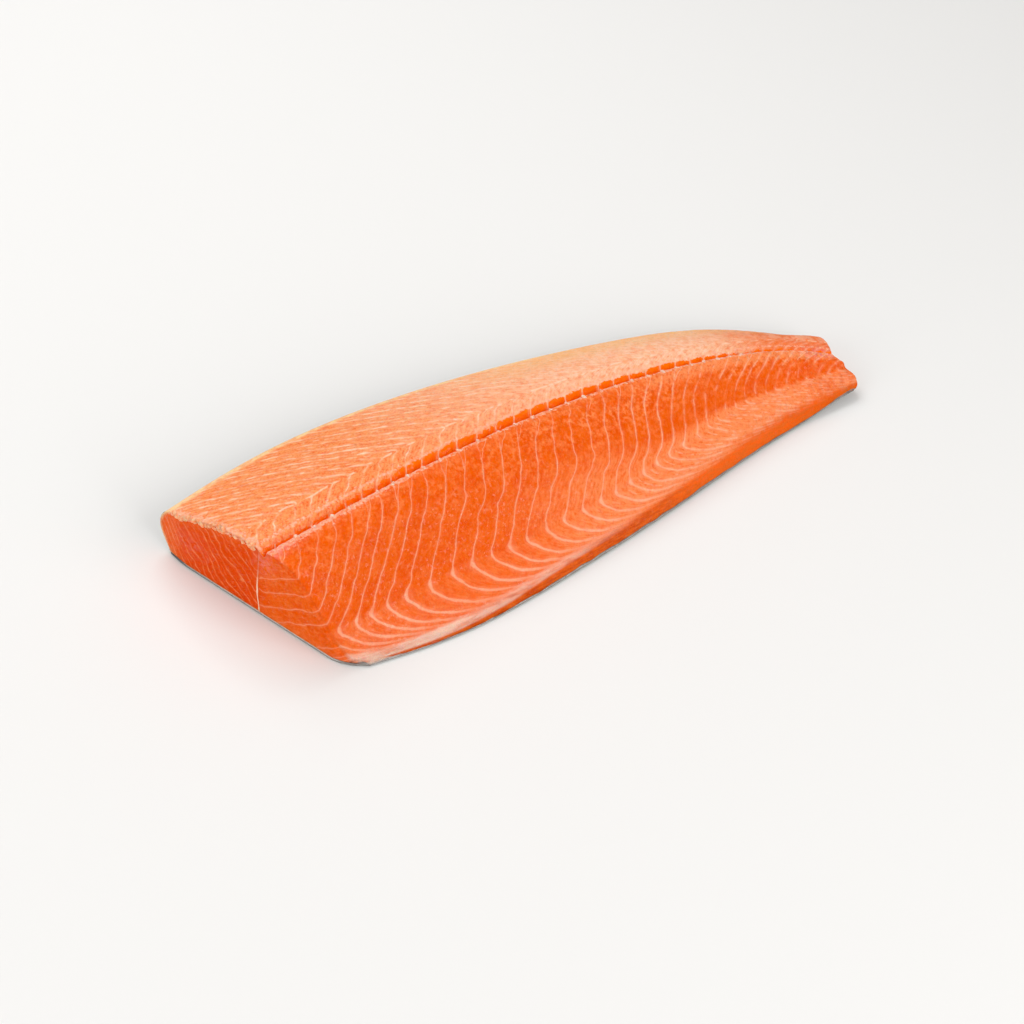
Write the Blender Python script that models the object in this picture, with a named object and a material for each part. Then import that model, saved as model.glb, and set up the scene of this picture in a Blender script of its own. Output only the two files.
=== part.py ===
"""Raw salmon fillet: the rear half of one side of the fish, lying on its skin.

The fillet is one solid. It is lofted: a handful of guide lines run from the
thick head-end cut to the thin tail, and every cross-section is a smooth curve
through them. Metres, +Z up, +X from the cut to the tail, +Y to the back of the
fish, origin under the middle of the bounding box.
"""

import bisect
import math

import bmesh
import bpy

MM = 0.001

# Driving dimensions. Stations run from 0 at the cut to 1 at the tail end.
TAIL_X = 308.4 * MM
CUT_SKEW = 0.432
CUT_OFFSET = 2.7 * MM
CUT_CORNER_ROUNDING = 4.0 * MM
BACK_CORNER_ROUNDING = 2.0 * MM
RIDGE_HEIGHT = (42.5 * MM, 13.5 * MM)
RIDGE_TAPER = 2.4
BACK_HEIGHT = (28.0 * MM, 10.0 * MM)
BACK_TAPER = 3.0
BELLY_BULGE = (2.6 * MM, 0.2 * MM)
LOIN_BULGE = 2.0 * MM
GROOVE_WIDTH = (5.5 * MM, 3.6 * MM)
GROOVE_DEPTH = (3.6 * MM, 1.2 * MM)
BACK_SWELL = 5.5 * MM
TAIL_LIFT = 4.3 * MM
TAIL_LIFT_START = 0.84

# The ragged tail end: (depth, place across, half width) of its nick and its tip.
TAIL_NICK = (2.4 * MM, 5 * MM, 5 * MM)
TAIL_TIP = (2.2 * MM, -8 * MM, 5 * MM)
TAIL_CORNER = 3 * MM
TAIL_BELLY_CORNER = (-10 * MM, -14 * MM)
TAIL_BACK_CORNER = (20 * MM, 28 * MM)
CUT_BELLY_CORNER = (-36 * MM, -48 * MM)
CUT_BACK_CORNER = (36 * MM, 50 * MM)

# Guide lines seen from above: (station, millimetres across the fillet).
BELLY_EDGE = ((0, -46.5), (0.12, -49.6), (0.3, -46.3), (0.6, -32.6), (0.85, -17.8), (1, -12))
VALLEY = ((0, -35.5), (0.3, -27.5), (0.6, -18), (0.85, -4), (1, -4))
RIDGE = ((0, -5), (0.3, 9.8), (0.6, 19.2), (0.78, 19.6), (0.92, 13.8), (1, 5.5))
BACK_EDGE = ((0, 45.5), (0.15, 56.6), (0.4, 62.4), (0.7, 54.8), (0.88, 41.8), (1, 22))
EDGE_INSET = (3.2 * MM, 1.5 * MM)
LOIN_EDGE_DROP = 0.3 * MM
SKIN_EDGE = 1.0 * MM

# Guide lines seen from the side: (station, millimetres above the board).
SHOULDER_HEIGHT = ((0, 3.6), (0.3, 7.8), (0.65, 11.6), (1, 7))
VALLEY_HEIGHT = ((0, 17), (0.3, 14.3), (0.7, 13.2), (1, 9.5))

# Places of the guide lines on the girth: 0 at the belly edge, 1 at the back edge.
GIRTH_SHOULDER = 0.07
GIRTH_VALLEY = 0.21
GIRTH_RIDGE = 0.56
GIRTH_LOIN = 0.61
GIRTH = (0.0, GIRTH_SHOULDER, GIRTH_VALLEY, GIRTH_RIDGE, GIRTH_LOIN, 1.0)

# The groove's steep wall ends at this share of its width, and its slope starts here.
GROOVE_WALL_END = 0.22
GROOVE_SLOPE_START = 0.15
GROOVE_NARROWS = 0.6
GROOVE_SHALLOWS = 0.5

# Fineness of the mesh.
STATION_COUNT = 64
BELLY_STEPS = 18
LOIN_STEPS = 12
GROOVE_GIRTHS = (0.566, 0.572, 0.582, 0.595, GIRTH_LOIN)
BACK_STEPS = 4
BOTTOM_EVERY = 4

FLESH_COLOUR = (0.92, 0.26, 0.10, 1.0)
FLESH_ROUGHNESS = 0.38


def clear_scene():
    for obj in list(bpy.data.objects):
        bpy.data.objects.remove(obj, do_unlink=True)


def smoothstep(start, end, value):
    share = min(max((value - start) / (end - start), 0.0), 1.0)
    return share * share * (3.0 - 2.0 * share)


def mix(pair, share):
    return pair[0] + (pair[1] - pair[0]) * share


def bell(shape, value):
    """A smooth bump of (height, middle, half width)."""
    height, middle, half_width = shape
    return height * math.exp(-(((value - middle) / half_width) ** 2))


def natural_spline(knots):
    """The smooth curve through (station, value) knots, as a function of the station."""
    at = [float(knot[0]) for knot in knots]
    value = [float(knot[1]) for knot in knots]
    count = len(knots)
    gap = [at[i + 1] - at[i] for i in range(count - 1)]
    slope = [(value[i + 1] - value[i]) / gap[i] for i in range(count - 1)]
    # Solve for the second derivatives, which are zero at both ends.
    diagonal = [1.0] * count
    right = [0.0] * count
    bend = [0.0] * count
    for i in range(1, count - 1):
        diagonal[i] = 2.0 * (gap[i - 1] + gap[i])
        right[i] = 6.0 * (slope[i] - slope[i - 1])
    for i in range(2, count - 1):
        factor = gap[i - 1] / diagonal[i - 1]
        diagonal[i] -= factor * gap[i - 1]
        right[i] -= factor * right[i - 1]
    for i in range(count - 2, 0, -1):
        bend[i] = (right[i] - gap[i] * bend[i + 1]) / diagonal[i]

    def curve(station):
        place = min(max(station, at[0]), at[-1])
        i = min(max(bisect.bisect_right(at, place) - 1, 0), count - 2)
        after = place - at[i]
        before = at[i + 1] - place
        cubic = (bend[i] * before**3 + bend[i + 1] * after**3) / (6.0 * gap[i])
        from_left = (value[i] / gap[i] - bend[i] * gap[i] / 6.0) * before
        from_right = (value[i + 1] / gap[i] - bend[i + 1] * gap[i] / 6.0) * after
        return cubic + from_left + from_right

    return curve


belly_edge = natural_spline(BELLY_EDGE)
valley = natural_spline(VALLEY)
ridge = natural_spline(RIDGE)
back_edge = natural_spline(BACK_EDGE)
shoulder_height = natural_spline(SHOULDER_HEIGHT)
valley_height = natural_spline(VALLEY_HEIGHT)


def cut_x(y):
    """The head-end cut runs askew, and both of its ends are rounded."""
    belly_corner = smoothstep(*CUT_BELLY_CORNER, y)
    back_corner = smoothstep(*CUT_BACK_CORNER, y)
    rounding = CUT_CORNER_ROUNDING * belly_corner + BACK_CORNER_ROUNDING * back_corner
    return -CUT_SKEW * y - CUT_OFFSET + rounding


def tail_x(y):
    """The tail end is nicked at the spine and runs out a little at the belly side."""
    corners = smoothstep(*TAIL_BELLY_CORNER, y) + smoothstep(*TAIL_BACK_CORNER, y)
    return TAIL_X - bell(TAIL_NICK, y) + bell(TAIL_TIP, y) - TAIL_CORNER * corners


def floor_height(station):
    """The skin lies flat, and only the tail end curls up a little."""
    return TAIL_LIFT * smoothstep(TAIL_LIFT_START, 1.0, station) ** 1.5


def guide_points(station):
    """(across, height) of the six guide lines at a station, in metres."""
    base = floor_height(station)
    edge = belly_edge(station) * MM
    inset = mix(EDGE_INSET, station**4)
    crest = ridge(station) * MM
    crest_height = mix(RIDGE_HEIGHT, station**RIDGE_TAPER)
    loin = crest + mix(GROOVE_WIDTH, smoothstep(GROOVE_NARROWS, 1.0, station))
    return (
        (edge, base),
        (edge + inset, shoulder_height(station) * MM),
        (valley(station) * MM, valley_height(station) * MM),
        (crest, crest_height),
        (loin, crest_height - LOIN_EDGE_DROP),
        (back_edge(station) * MM, mix(BACK_HEIGHT, station**BACK_TAPER)),
    )


def across_guides(values, girth):
    """Hermite curve through one value for each guide line."""
    count = len(GIRTH)
    gap = [GIRTH[i + 1] - GIRTH[i] for i in range(count - 1)]
    slope = [(values[i + 1] - values[i]) / gap[i] for i in range(count - 1)]
    tangent = [slope[0]]
    for i in range(1, count - 1):
        tangent.append((slope[i - 1] * gap[i] + slope[i] * gap[i - 1]) / (gap[i - 1] + gap[i]))
    tangent.append(slope[-1])
    i = min(max(bisect.bisect_right(GIRTH, girth) - 1, 0), count - 2)
    u = (girth - GIRTH[i]) / gap[i]
    start = (2 * u**3 - 3 * u**2 + 1) * values[i] + (u**3 - 2 * u**2 + u) * gap[i] * tangent[i]
    end = (3 * u**2 - 2 * u**3) * values[i + 1] + (u**3 - u**2) * gap[i] * tangent[i + 1]
    return start + end


def groove(station, girth):
    """How deep the spine's channel is: steep at the ridge, sloping up to the loin."""
    share = (girth - GIRTH_RIDGE) / (GIRTH_LOIN - GIRTH_RIDGE)
    wall = smoothstep(0.0, GROOVE_WALL_END, share)
    slope = smoothstep(GROOVE_SLOPE_START, 1.0, share)
    return mix(GROOVE_DEPTH, smoothstep(GROOVE_SHALLOWS, 1.0, station)) * wall * (1.0 - slope)


def place(station, y, z):
    start = cut_x(y)
    return (start + (tail_x(y) - start) * station, y, z)


def top_point(station, girth):
    guides = guide_points(station)
    y = across_guides([guide[0] for guide in guides], girth)
    z = across_guides([guide[1] for guide in guides], girth)
    belly = min(max((girth - GIRTH_VALLEY) / (GIRTH_RIDGE - GIRTH_VALLEY), 0.0), 1.0)
    loin = min(max((girth - GIRTH_LOIN) / (1.0 - GIRTH_LOIN), 0.0), 1.0)
    z += mix(BELLY_BULGE, station) * math.sin(math.pi * belly)
    z += LOIN_BULGE * math.sin(math.pi * loin)
    z -= groove(station, girth)
    return place(station, y, max(z, floor_height(station)))


def back_points(station):
    """The skin side of the back, from just under the back edge down to the board."""
    edge, height = guide_points(station)[-1]
    base = floor_height(station)
    swell = BACK_SWELL * (height - base) / BACK_HEIGHT[0]
    points = []
    for step in range(1, BACK_STEPS + 1):
        share = step / BACK_STEPS
        y = edge + SKIN_EDGE * share + swell * math.sin(math.pi * share**0.8)
        points.append(place(station, y, height + (base - height) * share))
    return points


def girth_steps():
    steps = [GIRTH_RIDGE * i / BELLY_STEPS for i in range(BELLY_STEPS + 1)]
    steps += GROOVE_GIRTHS
    steps += [GIRTH_LOIN + (1.0 - GIRTH_LOIN) * i / LOIN_STEPS for i in range(1, LOIN_STEPS + 1)]
    return steps


def bottom_columns(count):
    """Which columns of the top also have a point on the underside."""
    columns = list(range(0, count, BOTTOM_EVERY))
    if columns[-1] != count - 1:
        columns[-1] = count - 1
    return columns


def cross_section(station, girths, columns):
    """(top, back, bottom) rows of points; the bottom row leaves out the belly edge."""
    top = [top_point(station, girth) for girth in girths]
    back = back_points(station)
    base = floor_height(station)
    bottom = [place(station, top[column][1], base) for column in columns[1:-1]]
    return top, back, bottom


def add_end(bm, top, back, bottom, columns, flip):
    """Closes one end with upright strips between the top and the underside."""
    lower = [top[0]] + bottom + [back[-1]]
    for k in range(len(columns) - 1):
        first, last = columns[k], columns[k + 1]
        upper = top[first : last + 1]
        if k == len(columns) - 2:
            upper = upper + back[:-1]
        face = upper + [lower[k + 1]]
        if k > 0:
            face.append(lower[k])
        bm.faces.new(face[::-1] if flip else face)


def build_fillet():
    girths = girth_steps()
    columns = bottom_columns(len(girths))
    bm = bmesh.new()
    rows = []
    for i in range(STATION_COUNT + 1):
        section = cross_section(i / STATION_COUNT, girths, columns)
        rows.append([[bm.verts.new(point) for point in part] for part in section])
    for before, after in zip(rows, rows[1:]):
        ring_a = before[0] + before[1] + before[2][::-1]
        ring_b = after[0] + after[1] + after[2][::-1]
        for j in range(len(ring_a)):
            k = (j + 1) % len(ring_a)
            bm.faces.new((ring_a[j], ring_b[j], ring_b[k], ring_a[k]))
    add_end(bm, *rows[0], columns, flip=False)
    add_end(bm, *rows[-1], columns, flip=True)
    bmesh.ops.triangulate(bm, faces=bm.faces)
    bmesh.ops.recalc_face_normals(bm, faces=bm.faces)
    stand_on_origin(bm)
    return bm


def stand_on_origin(bm):
    """Puts the origin under the middle of the bounding box."""
    xs = [vert.co.x for vert in bm.verts]
    ys = [vert.co.y for vert in bm.verts]
    middle = (-(min(xs) + max(xs)) / 2.0, -(min(ys) + max(ys)) / 2.0, 0.0)
    bmesh.ops.translate(bm, verts=bm.verts, vec=middle)


def flesh_material():
    material = bpy.data.materials.new("salmon_flesh")
    material.use_nodes = True
    shader = material.node_tree.nodes["Principled BSDF"]
    shader.inputs["Base Color"].default_value = FLESH_COLOUR
    shader.inputs["Roughness"].default_value = FLESH_ROUGHNESS
    shader.inputs["Metallic"].default_value = 0.0
    return material


def main():
    clear_scene()
    bm = build_fillet()
    mesh = bpy.data.meshes.new("fillet")
    bm.to_mesh(mesh)
    bm.free()
    mesh.materials.append(flesh_material())
    mesh.shade_smooth()
    mesh.set_sharp_from_angle(angle=math.radians(40))
    bpy.context.scene.collection.objects.link(bpy.data.objects.new("fillet", mesh))


main()
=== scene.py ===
# %% [markdown]
# # A raw salmon fillet
# The fillet is the rear half of one side of a salmon, lying on its skin. The knife
# left three kinds of surface: the cut face at the thick end, the open side where the
# backbone lay, and the skin below. This notebook makes the flesh as one solid, the skin
# as a thin shell under it, the scales on the skin, the small knots of fat along the
# groove of the backbone, and the fringe of soft drops over the top of the cut.
#
# First the frame: the solid that the looks are built around, and its box.

# %% Load the frame
import math

import bpy
import numpy as np
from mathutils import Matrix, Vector
from mathutils.geometry import delaunay_2d_cdt


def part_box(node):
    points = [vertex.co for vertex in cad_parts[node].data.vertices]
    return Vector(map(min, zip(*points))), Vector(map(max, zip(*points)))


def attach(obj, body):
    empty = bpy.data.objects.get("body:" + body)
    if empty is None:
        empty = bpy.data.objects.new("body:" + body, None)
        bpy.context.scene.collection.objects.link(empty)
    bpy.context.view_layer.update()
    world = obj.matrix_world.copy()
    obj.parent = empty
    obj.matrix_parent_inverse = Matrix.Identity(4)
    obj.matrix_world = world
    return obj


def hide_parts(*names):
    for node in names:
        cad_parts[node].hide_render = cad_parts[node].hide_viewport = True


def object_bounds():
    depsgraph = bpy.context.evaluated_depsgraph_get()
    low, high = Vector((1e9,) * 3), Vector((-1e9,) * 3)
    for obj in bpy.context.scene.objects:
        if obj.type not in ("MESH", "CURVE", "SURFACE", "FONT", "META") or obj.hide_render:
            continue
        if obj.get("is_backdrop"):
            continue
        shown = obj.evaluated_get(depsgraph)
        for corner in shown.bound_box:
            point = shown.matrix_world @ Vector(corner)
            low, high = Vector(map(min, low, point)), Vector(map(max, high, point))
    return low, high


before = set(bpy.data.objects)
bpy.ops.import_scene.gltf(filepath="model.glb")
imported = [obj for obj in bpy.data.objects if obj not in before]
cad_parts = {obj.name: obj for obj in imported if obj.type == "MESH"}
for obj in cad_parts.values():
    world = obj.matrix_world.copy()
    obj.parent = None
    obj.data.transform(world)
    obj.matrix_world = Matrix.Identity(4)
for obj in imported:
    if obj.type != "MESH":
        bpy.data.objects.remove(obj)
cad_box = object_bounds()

MM = 0.001
scene = bpy.context.scene
scene.view_settings.view_transform = "Standard"
low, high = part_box("fillet")
print("fillet, mm:", [round((b - a) / MM, 1) for a, b in zip(low, high)])

# %% [markdown]
# ## Helpers for node trees
# A material or a geometry tree is easier to read as sums than as a drawing of boxes.
# `Wire` is an output socket that understands plus, minus and times: each of them adds a
# Math node. `Nodes` adds any other node and hands back its output as a `Wire`. Both are
# used for materials and for geometry trees.

# %% Node helpers


class Wire:
    """An output socket that can be used in sums."""

    def __init__(self, nodes, socket):
        self.nodes = nodes
        self.socket = socket

    def math(self, operation, *others):
        inputs = dict(enumerate((self, *others)))
        return self.nodes.add("ShaderNodeMath", inputs, operation=operation)

    def __add__(self, other):
        return self.math("ADD", other)

    def __sub__(self, other):
        return self.math("SUBTRACT", other)

    def __mul__(self, other):
        return self.math("MULTIPLY", other)

    def __truediv__(self, other):
        return self.math("DIVIDE", other)

    def __abs__(self):
        return self.math("ABSOLUTE")

    def rising(self, start, end):
        """0 up to start, 1 past end, and smooth between them."""
        inputs = {"Value": self, "From Min": start, "From Max": end}
        return self.nodes.add("ShaderNodeMapRange", inputs, interpolation_type="SMOOTHSTEP")

    def falling(self, start, end):
        return self.rising(start, end) * -1.0 + 1.0


class Nodes:
    """Adds nodes to a tree and links what they are given. `spot` is the place of a point."""

    def __init__(self, tree, spot_kind, spot_output):
        self.tree = tree
        self.spot = self.add(spot_kind, output=spot_output)

    def add(self, kind, inputs=None, output=0, **settings):
        node = self.tree.nodes.new(kind)
        for name, value in settings.items():
            setattr(node, name, value)
        for key, value in (inputs or {}).items():
            if isinstance(value, Wire):
                self.tree.links.new(value.socket, node.inputs[key])
            else:
                node.inputs[key].default_value = value
        return Wire(self, node.outputs[output])

    def mix(self, factor, first, second, blend="MIX"):
        """Blends two colours; sockets 6 and 7 are the colour inputs of a Mix node."""
        inputs = {0: factor, 6: first, 7: second}
        return self.add("ShaderNodeMix", inputs, 2, data_type="RGBA", blend_type=blend)

    def attribute(self, name):
        return self.add("ShaderNodeAttribute", output="Fac", attribute_name=name)

    def noise(self, size_mm, detail=2.0, output="Fac", where=None, **more):
        """Smooth random values in clumps of a size, at the place of a point."""
        inputs = {"Vector": where or self.spot, "Scale": 1.0 / (size_mm * MM), "Detail": detail}
        return self.add("ShaderNodeTexNoise", {**inputs, **more}, output)

    def clusters(self, size_mm, low, high, **more):
        """Soft patches: 0 where the noise is under low, 1 where it is over high."""
        return self.noise(size_mm, **more).rising(low, high)

    def vector(self, operation, inputs):
        return self.add("ShaderNodeVectorMath", inputs, operation=operation)

    def xyz(self, x=0.0, y=0.0, z=0.0):
        return self.add("ShaderNodeCombineXYZ", {0: x, 1: y, 2: z})

    def bump(self, height, strength, depth_mm):
        inputs = {"Height": height, "Strength": strength, "Distance": depth_mm * MM}
        return self.add("ShaderNodeBump", inputs, "Normal")


# %% Material helpers


def srgb(red, green, blue):
    """A colour as it looks on a screen, 0 to 255, in the linear values that nodes use."""
    shares = np.array((red, green, blue)) / 255.0
    return (*np.where(shares > 0.0405, ((shares + 0.055) / 1.055) ** 2.4, shares / 12.92), 1.0)


def new_material(name):
    """A material with its Nodes and its Principled shader."""
    material = bpy.data.materials.new(name)
    material.use_nodes = True
    tree = material.node_tree
    return material, Nodes(tree, "ShaderNodeTexCoord", "Object"), tree.nodes["Principled BSDF"]


def finish_with(nodes, shader, **inputs):
    """Links wires to the shader, and sets plain values on its own sockets."""
    for name, value in inputs.items():
        socket = shader.inputs[name.replace("_", " ")]
        if isinstance(value, Wire):
            nodes.tree.links.new(value.socket, socket)
        else:
            socket.default_value = value


# %% [markdown]
# ## The shape as guide lines
# A fillet has no straight line in it, but it has lines that the eye follows from the
# cut to the tail: the belly edge, the shoulder just above it, the valley where the belly
# wall starts, the ridge beside the backbone's groove, the edge of the loin, and the back
# edge. Each is a smooth curve through a few places. A cross-section then runs through
# the six of them. `station` goes from 0 at the cut to 1 at the tail, and `girth` from
# 0 at the belly edge to 1 at the back edge. All lengths here are in millimetres.

# %% Curves through a few points


def through(*knots):
    """The natural cubic spline through (station, value) knots."""
    at, value = np.array(knots, float).T
    count = len(at)
    gap = np.diff(at)
    slope = np.diff(value) / gap
    system = np.eye(count)
    right = np.zeros(count)
    for i in range(1, count - 1):
        system[i, i - 1 : i + 2] = gap[i - 1], 2 * (gap[i - 1] + gap[i]), gap[i]
        right[i] = 6 * (slope[i] - slope[i - 1])
    bend = np.linalg.solve(system, right)

    def curve(station):
        place = np.clip(station, at[0], at[-1])
        i = np.clip(np.searchsorted(at, place, side="right") - 1, 0, count - 2)
        after = place - at[i]
        before = at[i + 1] - place
        cubic = (bend[i] * before**3 + bend[i + 1] * after**3) / (6 * gap[i])
        from_left = (value[i] / gap[i] - bend[i] * gap[i] / 6) * before
        from_right = (value[i + 1] / gap[i] - bend[i + 1] * gap[i] / 6) * after
        return cubic + from_left + from_right

    return curve


def ease(start, end, value):
    """0 before start, 1 past end, and smooth between them."""
    share = np.clip((value - start) / (end - start), 0.0, 1.0)
    return share * share * (3.0 - 2.0 * share)


def mix(first, second, share):
    return first + (second - first) * share


def bell(height, middle, half_width, value):
    return height * np.exp(-(((value - middle) / half_width) ** 2))


# %% Guide lines, in millimetres
belly_edge = through((0, -46.5), (0.12, -49.6), (0.3, -46.3), (0.6, -32.6), (0.85, -17.8), (1, -12))
valley = through((0, -35.5), (0.3, -27.5), (0.6, -18), (0.85, -4), (1, -4))
ridge = through((0, -5), (0.3, 9.8), (0.6, 19.2), (0.78, 19.6), (0.92, 13.8), (1, 5.5))
back_edge = through((0, 45.5), (0.15, 56.6), (0.4, 62.4), (0.7, 54.8), (0.88, 41.8), (1, 22))
shoulder_height = through((0, 3.6), (0.3, 6.6), (0.65, 8.2), (1, 6))
valley_height = through((0, 17), (0.3, 14.3), (0.7, 13.2), (1, 9.5))

SHOULDER, VALLEY, RIDGE, LOIN = 0.07, 0.21, 0.56, 0.61
GIRTHS = np.array((0.0, SHOULDER, VALLEY, RIDGE, LOIN, 1.0))
CUT_SKEW = 0.432
# Pairs are a size at the cut and at the tail.
RIDGE_HEIGHT = 42.5, 13.5
BACK_HEIGHT = 28.0, 10.0
SHOULDER_INSET = 3.2, 1.5
GROOVE_WIDTH = 5.5, 3.6
GROOVE_DEPTH = 3.6, 1.2
WALL_SWELL = 2.6, 0.2
LOIN_SWELL = 2.0
BACK_SWELL = 5.5
TAIL_CURL = 4.3


def cut_x(y):
    """The slanting cut, which curves back at the belly edge and at the back edge."""
    rounding = 4.0 * ease(-36, -48, y) + 4.0 * ease(-40.5, -47.5, y) ** 2 + 2.0 * ease(36, 50, y)
    return -CUT_SKEW * y - 2.7 + rounding


def tail_x(y):
    """The tail end, a little uneven, with its corners cut back."""
    corners = ease(-10, -14, y) + ease(20, 28, y)
    return 308.4 - bell(2.4, 5, 5, y) + bell(2.2, -8, 5, y) - 3.0 * corners


def floor_height(station):
    """The skin lies flat, and only the tail end curls up a little."""
    return TAIL_CURL * ease(0.84, 1.0, station) ** 1.5


def guides(station):
    """Where the six guide lines run across the fillet, and how high."""
    base = floor_height(station)
    edge = belly_edge(station)
    crest = ridge(station)
    crest_height = mix(*RIDGE_HEIGHT, station**2.4)
    groove_width = mix(*GROOVE_WIDTH, ease(0.6, 1.0, station))
    across = (edge, edge + mix(*SHOULDER_INSET, station**4), valley(station), crest)
    across += (crest + groove_width, back_edge(station))
    height = (base, shoulder_height(station), valley_height(station), crest_height)
    height += (crest_height - 0.3, mix(*BACK_HEIGHT, station**3))
    return np.array(across), np.array(height)


# %% The surface between the guide lines


def across_guides(values, girth):
    """Hermite curves through one value for each guide line: rows of girth by station."""
    gap = np.diff(GIRTHS)[:, None]
    slope = np.diff(values, axis=0) / gap
    inner = (slope[:-1] * gap[1:] + slope[1:] * gap[:-1]) / (gap[:-1] + gap[1:])
    tangent = np.vstack((slope[:1], inner, slope[-1:]))
    i = np.clip(np.searchsorted(GIRTHS, girth, side="right") - 1, 0, len(GIRTHS) - 2)
    u = ((girth - GIRTHS[i]) / np.diff(GIRTHS)[i])[:, None]
    start = (2 * u**3 - 3 * u**2 + 1) * values[i] + (u**3 - 2 * u**2 + u) * gap[i] * tangent[i]
    end = (3 * u**2 - 2 * u**3) * values[i + 1] + (u**3 - u**2) * gap[i] * tangent[i + 1]
    return start + end


def groove(station, girth):
    """How deep the backbone's groove is: steep at the ridge, sloping up to the loin."""
    share = (girth - RIDGE) / (LOIN - RIDGE)
    depth = mix(*GROOVE_DEPTH, ease(0.5, 1.0, station))
    return depth * ease(0.0, 0.22, share) * (1.0 - ease(0.15, 1.0, share))


def placed(station, y, z):
    """Points from a station, a place across and a height, as arrays of one shape."""
    station, y, z = np.broadcast_arrays(station, y, z)
    return np.stack((mix(cut_x(y), tail_x(y), station), y, z), axis=-1)


def top_surface(station, girth):
    """The upper side of the fillet: rows of girth by columns of station."""
    across, height = guides(station)
    y = across_guides(across, girth)
    z = across_guides(height, girth)
    girth = girth[:, None]
    up_wall = np.clip((girth - VALLEY) / (RIDGE - VALLEY), 0, 1)
    over_loin = np.clip((girth - LOIN) / (1 - LOIN), 0, 1)
    z += mix(*WALL_SWELL, station) * np.sin(np.pi * up_wall) + LOIN_SWELL * np.sin(np.pi * over_loin)
    z -= groove(station, girth)
    return placed(station, y, np.maximum(z, floor_height(station)))


def back_surface(station, share, inset=0.0):
    """The skin side of the back: share 0 at the back edge, 1 where it meets the floor."""
    across, height = guides(station)
    edge, top, base = across[-1], height[-1], height[0]
    share = share[:, None]
    swell = BACK_SWELL * (top - base) / BACK_HEIGHT[0]
    y = edge + share + swell * np.sin(np.pi * share**0.8) - inset
    return placed(station, y, mix(top, base, share))


# %% The place of the shape in the frame
# The frame has its origin under the middle of the fillet.
probe = top_surface(np.linspace(0, 1, 65), np.linspace(0, 1, 101)).reshape(-1, 3)
bulge = back_surface(np.linspace(0, 1, 65), np.linspace(0, 1, 21)).reshape(-1, 3)
probe = np.vstack((probe, bulge))
to_frame = np.array((*(probe.min(0) + probe.max(0))[:2] / -2, 0.0))
to_frame[:2] += [(a + b) / 2 / MM for a, b in zip(low[:2], high[:2])]
print("shape, mm:", np.round(np.ptp(probe, axis=0), 1), "moved by", np.round(to_frame, 2))

# %% [markdown]
# ## The camera
# A long lens from above the thick end, looking along the fillet towards its tail, and
# tilted a little to the side. It comes early, so that every later step can be looked
# at through it.

# %% Camera
CAMERA_PLACE = np.array((-226.03, -472.95, 650.0))
CAMERA_TURN = (41.880, -4.628, -31.265)
camera_data = bpy.data.cameras.new("camera")
camera_data.lens = 69.19
camera_data.sensor_width = 36.0
camera = bpy.data.objects.new("camera", camera_data)
camera.location = (CAMERA_PLACE + to_frame) * MM
camera.rotation_euler = [math.radians(angle) for angle in CAMERA_TURN]
scene.collection.objects.link(camera)
scene.camera = camera

# %% [markdown]
# ## The sheets of fat between the muscles
# The pale lines of salmon are thin sheets of fat, one between each two blocks of muscle.
# They could be painted one by one, but they all follow one rule. Each runs down from the
# ridge and leans towards the cut, turns sharply at the height of the valley, and sweeps
# back to the tail along the belly. So one number, the `phase`, is worked out for every
# point of the surface: it grows by one from each sheet to the next, and a sheet lies
# wherever the phase is whole. The lines then stay sharp at any distance, because the
# material draws them from the phase.
#
# `tip_count` says how many tips lie before a station, `lean` how far a line shifts on its
# way up to the ridge, and `tip_girth` how high the tips lie. Past the ridge the lines
# slant towards the tail, and turn back at a seam in the loin. Smooth random ripples keep
# them from looking ruled.

# %% The rule of the lines
tip_count = through(
    (-0.135, -5), (-0.045, -2), (0.013, 0), (0.098, 3), (0.213, 6), (0.285, 8), (0.35, 10),
    (0.455, 13), (0.58, 17), (0.665, 20), (0.783, 25), (0.886, 30), (0.982, 35), (1.1, 41),
)
lean = through((-0.135, 0.152), (0.1, 0.147), (0.2, 0.126), (0.35, 0.117), (0.5, 0.099),
               (0.65, 0.088), (0.85, 0.064), (1.1, 0.04))
tip_girth = through((0, 0.205), (0.3, 0.206), (0.5, 0.208), (0.6, 0.223), (0.72, 0.246),
                    (0.85, 0.25), (1, 0.24))
COUNT_START, COUNT_END = -0.135, 1.1
BLOCKS_PER_STATION = 33
SEAM_GIRTH = 0.685
SEAM_HOOK = 0.006
GROOVE_REACH = 0.04
GROOVE_SLANT, LOIN_SLANT, BACK_SLANT = 0.3, 0.44, -0.62


def ripples(station, girth, station_cell, girth_cell, seed):
    """Smooth random values from -1 to 1 on a lattice of cells."""
    lattice = np.random.default_rng(seed).uniform(-1, 1, (120, 140))
    u, v = np.broadcast_arrays(station / station_cell + 10.0, girth / girth_cell + 3.0)
    i, j = np.floor(u).astype(int), np.floor(v).astype(int)
    du, dv = ease(0, 1, u - i), ease(0, 1, v - j)
    near = mix(lattice[j, i], lattice[j, i + 1], du)
    far = mix(lattice[j + 1, i], lattice[j + 1, i + 1], du)
    return mix(near, far, dv)


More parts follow.
